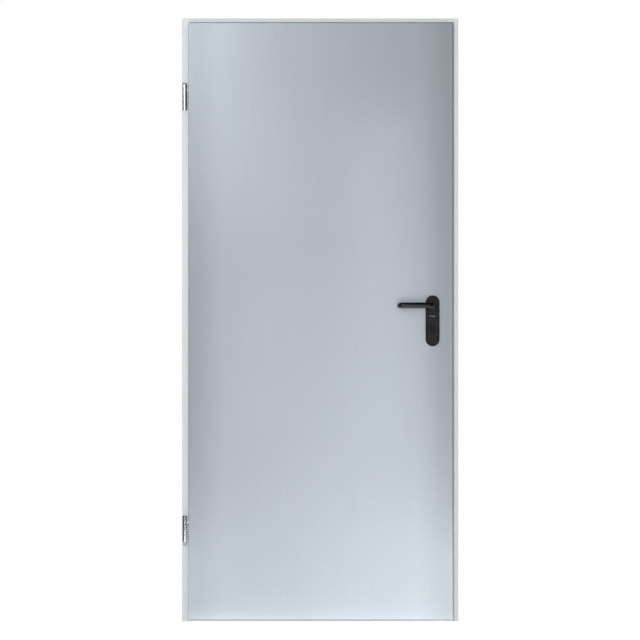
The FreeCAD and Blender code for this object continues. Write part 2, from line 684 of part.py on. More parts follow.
def make_front_sheet():
    """The front sheet: face, rebate flange on three sides, and the sides of the leaf."""
    body = new_body("leaf_front_sheet")
    pad(body, "flange", "XZ_Plane", box(LEAF_LEFT, LEAF_RIGHT, LEAF_FOOT, LEAF_TOP), LEAF_FRONT, FLANGE_BACK)
    pad(body, "sides", "XZ_Plane", box(BODY_LEFT, BODY_RIGHT, LEAF_FOOT, BODY_TOP), FLANGE_BACK, LEAF_BACK)
    left, right = f"{BODY_LEFT} + skin", f"{BODY_RIGHT} - skin"
    inside = box(left, right, f"{LEAF_FOOT} - cut_margin", f"{BODY_TOP} - skin")
    pocket(body, "inside", "XZ_Plane", inside, f"{LEAF_FRONT} + skin", f"{LEAF_BACK} + cut_margin")
    left, right = f"{LEAF_LEFT} + skin", f"{LEAF_RIGHT} - skin"
    hollow = box(left, right, f"{LEAF_FOOT} + skin", f"{LEAF_TOP} - skin")
    pocket(body, "flange_hollow", "XZ_Plane", hollow, f"{LEAF_FRONT} + skin", f"{FLANGE_BACK} - skin")

    def on_rim(edge):
        upright = flat_at(edge, 0, LEAF_LEFT) or flat_at(edge, 0, LEAF_RIGHT)
        at_face = flat_at(edge, 1, LEAF_FRONT) or flat_at(edge, 1, FLANGE_BACK)
        return at_face and (upright or flat_at(edge, 2, LEAF_TOP))

    round_edges(body, "rim", "leaf_bend", on_rim)
    return body


def make_back_sheet():
    """The back sheet: a shallow tray that closes the leaf."""
    body = new_body("leaf_back_sheet")
    left, right, top = f"{BODY_LEFT} + skin", f"{BODY_RIGHT} - skin", f"{BODY_TOP} - skin"
    pad(body, "tray", "XZ_Plane", box(left, right, LEAF_FOOT, top), f"{LEAF_BACK} - tray_flange", LEAF_BACK)
    inside = box(f"{left} + skin", f"{right} - skin", f"{LEAF_FOOT} - cut_margin", f"{top} - skin")
    start = f"{LEAF_BACK} - tray_flange - cut_margin"
    pocket(body, "inside", "XZ_Plane", inside, start, f"{LEAF_BACK} - skin")
    return body


def make_channel():
    """The channel that closes the bottom of the leaf."""
    body = new_body("leaf_bottom_channel")
    front, back = f"({LEAF_FRONT} + skin)", f"({LEAF_BACK} - skin)"
    high = f"{LEAF_FOOT} + channel_high"
    section = [(front, high), (front, LEAF_FOOT), (back, LEAF_FOOT), (back, high)]
    channel = folded(section, 1, "channel_sheet")
    pad(body, "section", "YZ_Plane", channel, f"{BODY_LEFT} + 2 * skin", f"{BODY_RIGHT} - 2 * skin")


def make_core():
    """The honeycomb core, with the recess for the lock."""
    body = new_body("leaf_core")
    right = f"{BODY_RIGHT} - 2 * skin"
    low = f"{LEAF_FOOT} + channel_high"
    outline = box(f"{BODY_LEFT} + 2 * skin", right, low, f"{BODY_TOP} - 2 * skin")
    front, back = f"{LEAF_FRONT} + skin", f"{LEAF_BACK} - skin"
    pad(body, "block", "XZ_Plane", outline, front, back)
    foot, top = f"{FOREND_FOOT} - lock_pocket_spare", f"{FOREND_TOP} + lock_pocket_spare"
    recess = box(f"{BODY_RIGHT} - lock_pocket_wide", f"{right} + cut_margin", foot, top)
    pocket(body, "lock_recess", "XZ_Plane", recess, f"{front} - cut_margin", f"{back} + cut_margin")


def insert_outline(spare):
    """The outline of the key insert, let out all round by the spare."""
    middle = f"({KEY_Z} - insert_high + insert_round / 2 + insert_slot / 2)"
    slot = f"insert_slot + 2 * {spare}"
    return round_ends(LEVER_X, f"insert_round + 2 * {spare}", KEY_Z, slot, middle, slot)


SCREWS = [("upper", "(lever_high + screw_above)"), ("lower", "(lever_high - screw_below)")]


def lever_axis_disc(diameter):
    return disc(LEVER_X, "lever_high", diameter)


def drill_handle_holes(body, start, end, lever_hole, low_screw=True):
    """The holes for lever, key insert and plate screws, through the Y range given."""
    pocket(body, "lever_hole", "XZ_Plane", lever_axis_disc(lever_hole), start, end)
    pocket(body, "key_hole", "XZ_Plane", insert_outline("insert_play"), start, end)
    for word, level in SCREWS if low_screw else SCREWS[:1]:
        hole = disc(LEVER_X, level, "screw_wide + 2 * screw_play")
        pocket(body, f"screw_hole_{word}", "XZ_Plane", hole, start, end)


def bolt_outline(level, high, spare):
    """The outline of a bolt in the lock's middle plane, let out all round by the spare."""
    half, rise = f"(bolt_thick / 2 + {spare})", f"({high} / 2 + {spare})"
    return box(f"{LOCK_Y} - {half}", f"{LOCK_Y} + {half}", f"{level} - {rise}", f"{level} + {rise}")


BOLTS = [("latch_bolt", LATCH_Z, "latch_high"), ("dead_bolt", BOLT_Z, "bolt_high")]


def make_lock(front_sheet, back_sheet):
    """The mortice lock, its forend and stiffener, and their cut-outs in the leaf."""
    half = "(forend_wide / 2)"
    forend = box(f"{LOCK_Y} - {half}", f"{LOCK_Y} + {half}", FOREND_FOOT, FOREND_TOP)
    beyond = f"{BODY_RIGHT} + cut_margin"
    pocket(front_sheet, "forend_cut", "YZ_Plane", forend, f"{BODY_RIGHT} - skin - cut_margin", beyond)
    flange_cut = box(f"{LOCK_Y} - {half}", f"{LEAF_BACK} - skin", FOREND_FOOT, FOREND_TOP)
    flange_start = f"{BODY_RIGHT} - 2 * skin - cut_margin"
    pocket(back_sheet, "forend_cut", "YZ_Plane", flange_cut, flange_start, beyond)

    body = new_body("lock_forend")
    inner = f"{BODY_RIGHT} - forend_thick"
    pad(body, "plate", "YZ_Plane", forend, inner, BODY_RIGHT)
    for name, level, high in BOLTS:
        hole = bolt_outline(level, high, "bolt_play")
        pocket(body, f"{name}_hole", "YZ_Plane", hole, f"{inner} - cut_margin", beyond)

    case_front = f"{inner} - stiffener_thick"
    case_low, case_top = "lever_high - case_below", "lever_high + case_above"
    body = new_body("lock_stiffener")
    foot = f"{FOREND_FOOT} - lock_pocket_spare + stiffener_play"
    top = f"{FOREND_TOP} + lock_pocket_spare - stiffener_play"
    stiffener = box(f"{LOCK_Y} - {half}", f"{LOCK_Y} + {half}", foot, top)
    pad(body, "plate", "YZ_Plane", stiffener, case_front, inner)
    through = (f"{case_front} - cut_margin", f"{inner} + cut_margin")
    for name, level, high in BOLTS:
        hole = bolt_outline(level, high, "bolt_play")
        pocket(body, f"{name}_hole", "YZ_Plane", hole, *through)

    body = new_body("lock_case")
    case_y_low, case_y_high = f"{LOCK_Y} - case_thick / 2", f"{LOCK_Y} + case_thick / 2"
    case = box(f"{LEVER_X} - case_behind", case_front, case_low, case_top)
    pad(body, "case", "XZ_Plane", case, case_y_low, case_y_high)
    through = (f"{case_y_low} - cut_margin", f"{case_y_high} + cut_margin")
    drill_handle_holes(body, *through, "follower_wide + 2 * insert_play", False)
    way = (f"{BODY_RIGHT} - bolt_long - bolt_play", f"{case_front} + cut_margin")
    for name, level, high in BOLTS:
        pocket(body, f"{name}_way", "YZ_Plane", bolt_outline(level, high, "bolt_play"), *way)

    for name, level, high in BOLTS:
        body = new_body(name)
        pad(body, "bar", "YZ_Plane", bolt_outline(level, high, "0"), f"{BODY_RIGHT} - bolt_long", BODY_RIGHT)


# The lever set


def make_plate(name, face, sign):
    """One handle plate on a face of the leaf; sign is the outward direction along Y."""
    body = new_body(name)
    outside = f"({face} + ({sign}) * plate_thick)"
    top = "lever_high + plate_above - plate_wide / 2"
    foot = "lever_high - plate_below + plate_wide / 2"
    outline = round_ends(LEVER_X, "plate_wide", top, "plate_wide", foot, "plate_wide")
    pad(body, "plate", "XZ_Plane", outline, face, outside)
    round_edges(body, "rim", "plate_edge", lambda edge: flat_at(edge, 1, outside))
    if sign == "-1":
        inner, outer = f"{face} + cut_margin", f"{outside} - cut_margin"
        lever_hole = lever_axis_disc("bearing_wide + bearing_play")
        pocket(body, "lever_hole", "XZ_Plane", lever_hole, inner, outer)
        pocket(body, "key_hole", "XZ_Plane", insert_outline("insert_play"), inner, outer)
        for word, level in SCREWS:
            hole = disc(LEVER_X, level, "screw_wide")
            pocket(body, f"screw_{word}", "XZ_Plane", hole, inner, f"{face} - screw_bite")
    else:
        through = (f"{face} - cut_margin", f"{outside} + cut_margin")
        drill_handle_holes(body, *through, "bearing_wide + bearing_play")


def make_lever(name, face, sign):
    """One lever: pivot, collar, neck, grip and returned tip; sign is the outward direction."""
    body = new_body(name)
    plate = f"({face} + ({sign}) * plate_thick)"
    root = f"({plate} - ({sign}) * bearing_deep)"
    collar = f"({plate} + ({sign}) * collar_gap)"
    collar_top = f"({collar} + ({sign}) * collar_thick)"
    grip = f"({plate} + ({sign}) * lever_out)"
    path = sketch_on(body, "grip_path", "XY_Plane", "0")
    tip = "(lever_wide / 2 - lever_reach)"
    tip_end = f"({grip} - ({sign}) * tip_back)"
    corners = [("0", collar, None), ("0", grip, "lever_bend"), (tip, grip, "tip_bend"), (tip, tip_end, None)]
    draw_path(path, corners, False)
    section = sketch_on(body, "grip_section", "XZ_Plane", collar)
    disc("0", "0", "lever_wide")(section)
    grip_feature = body.newObject("PartDesign::AdditivePipe", "grip")
    grip_feature.Profile = section
    grip_feature.Spine = (path, [f"Edge{place + 1}" for place in range(5)])
    pad(body, "collar", "XZ_Plane", disc("0", "0", "collar_wide"), collar, collar_top)
    pad(body, "pivot", "XZ_Plane", disc("0", "0", "bearing_wide"), root, collar)
    half = "(spindle_wide / 2)"
    socket = box(f"-{half}", half, f"-{half}", half)
    through = (f"{root} - ({sign}) * cut_margin", f"{root} + ({sign}) * spindle_hold")
    pocket(body, "socket", "XZ_Plane", socket, *through)
    end = body.newObject("PartDesign::AdditiveSphere", "tip")
    bind(end, "Radius", "lever_wide / 2")
    bind(end, "Placement.Base.x", tip)
    bind(end, "Placement.Base.y", tip_end)
    bind(body, "Placement.Base.x", LEVER_X)
    bind(body, "Placement.Base.z", "lever_high")


def make_lever_set(front_sheet, back_sheet):
    """Plates, levers, spindle, follower, key insert and plate screws."""
    opening = "bearing_wide"
    skins = (
        (front_sheet, f"{LEAF_FRONT} - cut_margin", f"{LEAF_FRONT} + skin + cut_margin"),
        (back_sheet, f"{LEAF_BACK} - skin - cut_margin", f"{LEAF_BACK} + cut_margin"),
    )
    for sheet, outside, inside in skins:
        drill_handle_holes(sheet, outside, inside, opening)
    make_plate("handle_plate_front", LEAF_FRONT, "-1")
    make_plate("handle_plate_back", LEAF_BACK, "1")
    make_lever("lever_front", LEAF_FRONT, "-1")
    make_lever("lever_back", LEAF_BACK, "1")

    half = "(spindle_wide / 2)"
    square = box(f"{LEVER_X} - {half}", f"{LEVER_X} + {half}", f"lever_high - {half}", f"lever_high + {half}")
    body = new_body("spindle")
    root = "plate_thick - bearing_deep + spindle_hold"
    pad(body, "bar", "XZ_Plane", square, f"{LEAF_FRONT} - ({root})", f"{LEAF_BACK} + ({root})")

    body = new_body("lock_follower")
    hub_low, hub_high = f"{LOCK_Y} - case_thick / 2", f"{LOCK_Y} + case_thick / 2"
    pad(body, "hub", "XZ_Plane", lever_axis_disc("follower_wide"), hub_low, hub_high)
    pocket(body, "square", "XZ_Plane", square, f"{hub_low} - cut_margin", f"{hub_high} + cut_margin")

    body = new_body("key_insert")
    front = f"{LEAF_FRONT} - plate_thick - insert_proud"
    back = f"{LEAF_BACK} + plate_thick + insert_proud"
    pad(body, "barrel", "XZ_Plane", insert_outline("0"), front, back)
    top, foot = f"{KEY_Z} + keyway_round / 2", f"{KEY_Z} - keyway_drop"
    keyway = round_ends(LEVER_X, "keyway_round", top, "keyway_slot", foot, "keyway_slot")
    pocket(body, "keyway_front", "XZ_Plane", keyway, f"{front} - cut_margin", f"{front} + keyway_deep")
    pocket(body, "keyway_back", "XZ_Plane", keyway, f"{back} - keyway_deep", f"{back} + cut_margin")

    body = new_body("plate_screws")
    head = f"({LEAF_BACK} + plate_thick)"
    tip = f"{LEAF_FRONT} - screw_bite"
    for word, level in SCREWS:
        pad(body, f"shank_{word}", "XZ_Plane", disc(LEVER_X, level, "screw_wide"), tip, head)
        head_disc = disc(LEVER_X, level, "screw_head")
        pad(body, f"head_{word}", "XZ_Plane", head_disc, head, f"{head} + screw_head_high")


hinge_jamb = make_jamb("frame_hinge_jamb", "-1", "0", TOP)
make_jamb("frame_lock_jamb_lower", "1", "0", STRIKE_LOW)
strike_jamb = make_jamb("frame_lock_jamb_strike", "1", STRIKE_LOW, STRIKE_TOP)
make_jamb("frame_lock_jamb_upper", "1", STRIKE_TOP, TOP)
make_head()
make_rail()
make_side_seal("seal_hinge_side", "-1")
make_side_seal("seal_lock_side", "1")
make_head_seal()
for word, level in ANCHORS:
    make_anchor(f"wall_anchor_hinge_side_{word}", "-1", level)
    make_anchor(f"wall_anchor_lock_side_{word}", "1", level)
make_caps()
make_strike_box(strike_jamb)

front_sheet = make_front_sheet()
back_sheet = make_back_sheet()
make_channel()
make_core()
for word, level in HINGES:
    make_hinge(word, level, hinge_jamb, front_sheet)
make_washers()
make_lock(front_sheet, back_sheet)
make_lever_set(front_sheet, back_sheet)

doc.recompute()
for thing in doc.Objects:
    if "Invalid" in thing.State or "Error" in thing.State:
        raise SystemExit(f"{thing.Label}: {thing.State}")
for thing in sub_parts:
    if thing.Shape.isNull() or not thing.Shape.isValid() or not thing.Shape.Solids:
        raise SystemExit(f"{thing.Label} has no valid solid")

os.makedirs("parts", exist_ok=True)
for thing in sub_parts:
    thing.Shape.exportStep(f"parts/{thing.Label}.step")
    print(f"{thing.Label}: {len(thing.Shape.Solids)} solid, {thing.Shape.Volume / 1000:.1f} cm3")
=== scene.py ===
"""Looks of the steel utility door: zinc-coated leaf, painted corner frame, black lever set.

Metres. X runs to the right as the door is seen from its hinge knuckles, Y into the wall, Z up.
"""
import json
import math

import bmesh
import bpy
import numpy as np
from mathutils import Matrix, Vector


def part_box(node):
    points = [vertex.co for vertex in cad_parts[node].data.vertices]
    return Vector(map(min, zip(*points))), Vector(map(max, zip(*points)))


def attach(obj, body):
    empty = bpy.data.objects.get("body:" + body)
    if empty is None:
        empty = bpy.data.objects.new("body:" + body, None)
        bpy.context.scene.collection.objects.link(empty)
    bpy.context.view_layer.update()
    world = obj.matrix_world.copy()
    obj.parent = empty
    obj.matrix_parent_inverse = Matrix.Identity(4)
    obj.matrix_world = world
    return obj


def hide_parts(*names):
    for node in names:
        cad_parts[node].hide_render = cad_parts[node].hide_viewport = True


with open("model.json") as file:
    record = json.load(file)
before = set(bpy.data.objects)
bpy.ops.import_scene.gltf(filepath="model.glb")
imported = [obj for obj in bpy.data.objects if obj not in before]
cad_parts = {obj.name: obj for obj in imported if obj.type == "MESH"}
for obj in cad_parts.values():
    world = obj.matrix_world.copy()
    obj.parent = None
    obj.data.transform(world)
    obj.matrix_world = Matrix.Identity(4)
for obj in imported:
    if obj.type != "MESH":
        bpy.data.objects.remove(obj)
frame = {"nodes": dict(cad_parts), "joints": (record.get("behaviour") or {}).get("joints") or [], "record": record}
nodes = frame["nodes"]
scene = bpy.context.scene
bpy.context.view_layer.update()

MM = 0.001


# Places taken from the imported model


def place(node):
    """Lowest and highest corner of a node as two numpy arrays."""
    low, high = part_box(node)
    return np.array(low), np.array(high)


joints = {joint["name"]: joint for joint in frame["joints"]}
lever_x, _, lever_z = joints["lever_turn"]["pos_m"]
leaf_low, leaf_high = place("leaf_front_sheet")
leaf_front = leaf_low[1]
leaf_back = place("leaf_back_sheet")[1][1]


# The camera, far off and level, so that the door's sides stay parallel as in the photo

PHOTO_WIDE = 640
MM_PER_PIXEL = 3.32
SENSOR_WIDE = 36.0
CAMERA_BACK = 15.0
CAMERA_PLACE = (-0.0005, -CAMERA_BACK, 1.0015)

view_wide = PHOTO_WIDE * MM_PER_PIXEL * MM
camera_data = bpy.data.cameras.new("photo_camera")
camera_data.sensor_width = SENSOR_WIDE
camera_data.lens = SENSOR_WIDE * (CAMERA_BACK + leaf_front) / view_wide
camera_data.clip_end = 100.0
camera = bpy.data.objects.new("photo_camera", camera_data)
camera.location = CAMERA_PLACE
camera.rotation_euler = (math.radians(90), 0, 0)
scene.collection.objects.link(camera)
scene.camera = camera


# Small tools for colours, nodes and surfaces


def linear(colour):
    """Linear RGBA of an sRGB hex colour.

    Each channel c becomes ((c + 0.055) / 1.055) to the power 2.4, or c / 12.92 where c is under 0.04045.
    """
    channels = [int(colour[start:start + 2], 16) / 255 for start in (1, 3, 5)]
    return tuple(c / 12.92 if c < 0.04045 else ((c + 0.055) / 1.055) ** 2.4 for c in channels) + (1.0,)


def add(tree, kind, inputs=None, **settings):
    """Add one node with its settings; each input gets a value or a link from another node's output."""
    made = tree.nodes.new(kind)
    for name, value in settings.items():
        setattr(made, name, value)
    for socket, value in (inputs or {}).items():
        if isinstance(value, bpy.types.NodeSocket):
            tree.links.new(value, made.inputs[socket])
        else:
            made.inputs[socket].default_value = value
    return made


def stops(ramp_node, *points):
    """Set a colour ramp's stops, each a position and a grey value or a hex colour."""
    ramp = ramp_node.color_ramp
    while len(ramp.elements) < len(points):
        ramp.elements.new(0.5)
    for element, (position, colour) in zip(ramp.elements, points):
        element.position = position
        element.color = linear(colour) if isinstance(colour, str) else (colour, colour, colour, 1.0)
    return ramp_node.outputs["Color"]


def new_material(name, **sockets):
    """A material with a Principled shader, constant values set on the shader's own sockets."""
    material = bpy.data.materials.new(name)
    material.use_nodes = True
    shader = material.node_tree.nodes["Principled BSDF"]
    for socket, value in sockets.items():
        shader.inputs[socket.replace("_", " ")].default_value = value
    return material, material.node_tree, shader


def shaded_tone(tree, shader, tone, *greys):
    """Link the shader's base colour: the tone times each of the grey patterns."""
    colour = linear(tone)
    for grey in greys:
        colour = add(tree, "ShaderNodeMix", {0: 1.0, 6: grey, 7: colour},
                     data_type="RGBA", blend_type="MULTIPLY").outputs[2]
    tree.links.new(colour, shader.inputs["Base Color"])


def uneven_roughness(tree, shader, pattern, low, high):
    """Link the shader's roughness: from low to high as the pattern goes from 0 to 1."""
    rough = add(tree, "ShaderNodeMapRange", {"Value": pattern, "To Min": low, "To Max": high})
    tree.links.new(rough.outputs[0], shader.inputs["Roughness"])


def grid_mesh(name, points, wrap_columns=False, sharp=35):
    """A mesh over a grid of points, shape (rows, columns, 3), one quad between each four neighbours.

    Columns that wrap join the last to the first; points that coincide are merged, which closes
    seams and poles, and the faces are turned outwards. Edges over sharp degrees stay crisp.
    """
    rows, columns = points.shape[:2]
    index = np.arange(rows * columns).reshape(rows, columns)
    if wrap_columns:
        index = np.hstack([index, index[:, :1]])
    quads = np.stack([index[:-1, :-1], index[:-1, 1:], index[1:, 1:], index[1:, :-1]], axis=-1)
    mesh = bpy.data.meshes.new(name)
    mesh.from_pydata(points.reshape(-1, 3).tolist(), [], quads.reshape(-1, 4).tolist())
    work = bmesh.new()
    work.from_mesh(mesh)
    bmesh.ops.remove_doubles(work, verts=work.verts, dist=0.002 * MM)
    bmesh.ops.recalc_face_normals(work, faces=work.faces)
    work.to_mesh(mesh)
    work.free()
    mesh.shade_smooth()
    mesh.set_sharp_from_angle(angle=math.radians(sharp))
    return mesh


def joined(name, *meshes):
    """One mesh from several."""
    work = bmesh.new()
    for mesh in meshes:
        work.from_mesh(mesh)
    whole = bpy.data.meshes.new(name)
    work.to_mesh(whole)
    work.free()
    return whole


def piece(name, mesh, material, body, slot, *replaced):
    """Put a finished mesh into the scene as a piece that rides on a body."""
    made = bpy.data.objects.new(name, mesh)
    scene.collection.objects.link(made)
    mesh.materials.clear()
    mesh.materials.append(material)
    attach(made, body)
    if replaced:
        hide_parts(*replaced)
    return made


def arc(centre, radius, start, end, steps):
    """Points on a circle's arc: centre + radius (cos a, sin a), a from start to end in degrees."""
    angle = np.radians(np.linspace(start, end, steps))
    return np.column_stack([centre[0] + radius * np.cos(angle), centre[1] + radius * np.sin(angle)])


# Materials

# Real rolling lines lie 0.1 mm apart; these are drawn coarser so that they show
ROLLING_LINES = 1.6 * MM
LINE_STRETCH = 0.006
# A sheet's slow waves, and where the painted shade beside the folds begins and where it is full, from the leaf's
# middle
WAVES_PER_METRE = 5.0
CLOUDS_PER_METRE = 2.2
EDGE_SHADE_FROM, EDGE_SHADE_TO = 0.31, 0.44


# edge is the share of colour left by the painted shade beside the folds; 1 leaves no shade
def zinc_sheet(name, tone, roughness, spangle_mm, edge=1.0):
    """Hot-dip zinc on cold-rolled sheet: a soft metal sheen, faint crystals and upright rolling lines."""
    material, tree, shader = new_material(name, Metallic=1.0)
    place_on = add(tree, "ShaderNodeTexCoord").outputs["Object"]
    crystals = add(tree, "ShaderNodeTexVoronoi", {"Vector": place_on, "Scale": 1 / (spangle_mm * MM)})
    stretched = add(tree, "ShaderNodeMapping", {"Vector": place_on, "Scale": (1.0, 1.0, LINE_STRETCH)})
    lines = add(tree, "ShaderNodeTexNoise",
                {"Vector": stretched.outputs[0], "Scale": 1 / ROLLING_LINES, "Detail": 3.0})
    clouds = add(tree, "ShaderNodeTexNoise",
                 {"Vector": place_on, "Scale": CLOUDS_PER_METRE, "Detail": 3.0, "Roughness": 0.45})
    crystal_grey = stops(add(tree, "ShaderNodeValToRGB", {"Fac": crystals.outputs["Color"]}),
                         (0.0, 0.965), (1.0, 1.0))
    line_grey = stops(add(tree, "ShaderNodeValToRGB", {"Fac": lines.outputs["Fac"]}),
                      (0.3, 0.955), (0.7, 1.0))
    cloud_grey = stops(add(tree, "ShaderNodeValToRGB", {"Fac": clouds.outputs["Fac"]}),
                       (0.3, 0.96), (0.7, 1.0))
    # Painted shade: the colour darkens towards the sheet's sides beside the folds, standing in for a dimmer
    # reflection there
    parts = add(tree, "ShaderNodeSeparateXYZ", {"Vector": place_on})
    side = add(tree, "ShaderNodeMath", {0: parts.outputs["X"]}, operation="ABSOLUTE")
    painted_edge_shade = add(tree, "ShaderNodeMapRange",
                  {"Value": side.outputs[0], "From Min": EDGE_SHADE_FROM, "From Max": EDGE_SHADE_TO,
                   "To Min": 1.0, "To Max": edge}, interpolation_type="SMOOTHSTEP")
    shaded_tone(tree, shader, tone, crystal_grey, line_grey, cloud_grey, painted_edge_shade.outputs[0])
    uneven_roughness(tree, shader, crystals.outputs["Color"], roughness - 0.025, roughness + 0.025)
    waves = add(tree, "ShaderNodeTexNoise",
                {"Vector": place_on, "Scale": WAVES_PER_METRE, "Detail": 1.0})
    waviness = add(tree, "ShaderNodeBump",
                   {"Height": waves.outputs["Fac"], "Strength": 0.5, "Distance": 0.7 * MM})
    grain = add(tree, "ShaderNodeBump",
                {"Height": lines.outputs["Fac"], "Strength": 0.25, "Distance": 0.02 * MM,
                 "Normal": waviness.outputs[0]})
    tree.links.new(grain.outputs[0], shader.inputs["Normal"])
    return material


# Orange peel is about 1 mm from bump to bump; drawn a little coarser so that it shows
ORANGE_PEEL = 1.5 * MM


def stoved_paint(name, tone):
    """Stoved primer on folded sheet: nearly matt, with a fine orange peel and slightly uneven tone."""
    material, tree, shader = new_material(name, Roughness=0.5, IOR=1.5)
    place_on = add(tree, "ShaderNodeTexCoord").outputs["Object"]
    clouds = add(tree, "ShaderNodeTexNoise", {"Vector": place_on, "Scale": 3.0, "Detail": 2.0})
    grey = stops(add(tree, "ShaderNodeValToRGB", {"Fac": clouds.outputs["Fac"]}), (0.3, 0.97), (0.7, 1.0))
    shaded_tone(tree, shader, tone, grey)
    peel = add(tree, "ShaderNodeTexNoise", {"Vector": place_on, "Scale": 1 / ORANGE_PEEL, "Detail": 2.0})
    bump = add(tree, "ShaderNodeBump",
               {"Height": peel.outputs["Fac"], "Strength": 0.35, "Distance": 0.05 * MM})
    tree.links.new(bump.outputs[0], shader.inputs["Normal"])
    return material


def moulded_plastic(name, tone, roughness, grain_mm, gloss=0.5):
    """Moulded plastic: a fine spark-eroded grain that breaks up the gloss."""
    material, tree, shader = new_material(name, IOR=1.53, Specular_IOR_Level=gloss)
    place_on = add(tree, "ShaderNodeTexCoord").outputs["Object"]
    grain = add(tree, "ShaderNodeTexNoise",
                {"Vector": place_on, "Scale": 1 / (grain_mm * MM), "Detail": 2.0})
    shade = stops(add(tree, "ShaderNodeValToRGB", {"Fac": grain.outputs["Fac"]}), (0.25, 0.9), (0.75, 1.0))
    shaded_tone(tree, shader, tone, shade)
    uneven_roughness(tree, shader, grain.outputs["Fac"], roughness - 0.03, roughness + 0.03)
    bump = add(tree, "ShaderNodeBump",
               {"Height": grain.outputs["Fac"], "Strength": 0.3, "Distance": 0.03 * MM})
    tree.links.new(bump.outputs[0], shader.inputs["Normal"])
    return material


# Tool marks lie 0.1 mm apart along the barrel; drawn coarser so that they show
TOOL_MARKS = 0.6 * MM


def turned_metal(name, tone, roughness):
    """Turned and plated steel or brass: bright, with fine rings round the hinge axis."""
    material, tree, shader = new_material(name, Metallic=1.0)
    place_on = add(tree, "ShaderNodeTexCoord").outputs["Object"]
    squashed = add(tree, "ShaderNodeMapping", {"Vector": place_on, "Scale": (0.02, 0.02, 1.0)})
    rings = add(tree, "ShaderNodeTexNoise",
                {"Vector": squashed.outputs[0], "Scale": 1 / TOOL_MARKS, "Detail": 2.0})
    shade = stops(add(tree, "ShaderNodeValToRGB", {"Fac": rings.outputs["Fac"]}), (0.3, 0.98), (0.7, 1.0))
    shaded_tone(tree, shader, tone, shade)
    uneven_roughness(tree, shader, rings.outputs["Fac"], roughness - 0.005, roughness + 0.005)
    return material


def extruded_rubber(name):
    """Extruded rubber: matt black with a grey bloom."""
    material, tree, shader = new_material(name, IOR=1.52)
    place_on = add(tree, "ShaderNodeTexCoord").outputs["Object"]
    bloom = add(tree, "ShaderNodeTexNoise", {"Vector": place_on, "Scale": 60.0, "Detail": 4.0})
    colour = stops(add(tree, "ShaderNodeValToRGB", {"Fac": bloom.outputs["Fac"]}),
                   (0.35, "#1b1c1d"), (0.75, "#2b2c2d"))
    tree.links.new(colour, shader.inputs["Base Color"])
    uneven_roughness(tree, shader, bloom.outputs["Fac"], 0.62, 0.78)
    return material


def honeycomb_board(name):
    """Grey-brown paper board: matt, with fibres."""
    material, tree, shader = new_material(name, Roughness=0.85, IOR=1.45)
    place_on = add(tree, "ShaderNodeTexCoord").outputs["Object"]
    fibres = add(tree, "ShaderNodeTexNoise", {"Vector": place_on, "Scale": 400.0, "Detail": 4.0})
    colour = stops(add(tree, "ShaderNodeValToRGB", {"Fac": fibres.outputs["Fac"]}),
                   (0.3, "#8d7353"), (0.7, "#a98d68"))
    tree.links.new(colour, shader.inputs["Base Color"])
    return material


# Leaf: 0.8 mm sheet with a small-crystal zinc coat; a cool soft sheen, and painted shade that darkens it beside
# the folds
leaf_zinc = zinc_sheet("leaf_zinc", "#c3cad2", 0.42, 4.0, edge=0.82)
# Floor rail: the same coat, scuffed by feet, so greyer and rougher
rail_zinc = zinc_sheet("rail_zinc", "#bcc2c4", 0.5, 5.0)
# Anchors: punched strip with larger crystals and no care for its looks
strap_zinc = zinc_sheet("strap_zinc", "#b4babd", 0.45, 6.0)
# Lock front, bolts and screws: electroplated zinc, brighter and with almost no crystals
lock_zinc = zinc_sheet("lock_zinc", "#c6c9ca", 0.3, 1.5)
# Frame: light grey stoved primer, nearly matt, so that it stays pale at any angle
frame_paint = stoved_paint("frame_paint", "#d9dedc")
# Caps: moulded polyethylene in the frame's colour, a little glossier than the paint
cap_plastic = moulded_plastic("cap_plastic", "#d2d6d4", 0.42, 0.6)
# Plates: moulded polyamide, black with a low even gloss
handle_plastic = moulded_plastic("handle_plastic", "#101111", 0.2, 0.5, gloss=0.27)
# Levers: the same polyamide, smoother from use, so that a lamp shows as a stripe
lever_plastic = moulded_plastic("lever_plastic", "#0b0c0c", 0.12, 0.8, gloss=0.42)
# Key insert: moulded polyamide with a dull grain, which sets it off from the plate
insert_plastic = moulded_plastic("insert_plastic", "#0f0f0e", 0.35, 0.5, gloss=0.2)
# Index bar: a pressed-in strip of grey ABS, the one light mark on the plate
mark_plastic = moulded_plastic("mark_plastic", "#868384", 0.45, 0.5)
# Hinge barrels: turned steel with bright zinc plating, almost a mirror
hinge_plating = turned_metal("hinge_plating", "#cdd0d2", 0.13)
# Hinge washers: turned brass, a thin warm ring between the barrels
washer_brass = turned_metal("washer_brass", "#c8ab6b", 0.25)
# Seals on the frame's stop: extruded rubber that takes the light away from the gap
seal_rubber = extruded_rubber("seal_rubber")
# Leaf core: honeycomb board, out of sight inside the leaf
core_paper = honeycomb_board("core_paper")

SLOT_FINISHES = {
    "frame_steel": frame_paint,
    "leaf_steel": leaf_zinc,
    "rail_steel": rail_zinc,
    "strap_steel": strap_zinc,
    "hinge_steel": hinge_plating,
    "hinge_brass": washer_brass,
    "lock_steel": lock_zinc,
    "seal_rubber": seal_rubber,
    "cap_plastic": cap_plastic,
    "handle_plastic": handle_plastic,
    "insert_plastic": insert_plastic,
    "core_board": core_paper,
}
for part in frame["record"]["subparts"]:
    mesh = nodes[part["node"]].data
    mesh.materials.clear()
    mesh.materials.append(SLOT_FINISHES[part["material_slot"]])


# The handle plates

# Rolled rim and the wall under it
RIM_RADIUS, WALL_FOOT = 3.2 * MM, 0.4 * MM
# The field starts this far in from the edge, slopes down over this width and lies this deep
FIELD_IN, FIELD_SLOPE, FIELD_DEEP = 4.6 * MM, 0.8 * MM, 0.7 * MM
GROOVE_WIDE = 1.4 * MM
RING_RADIUS, RING_DEEP = 15.2 * MM, 0.5 * MM
KEY_GROOVE_OUT, KEY_GROOVE_DEEP = 0.4 * MM, 0.6 * MM
# A key hole of 17 mm round above and 10 mm wide below
KEY_FLAT_SHARE = 10 / 17


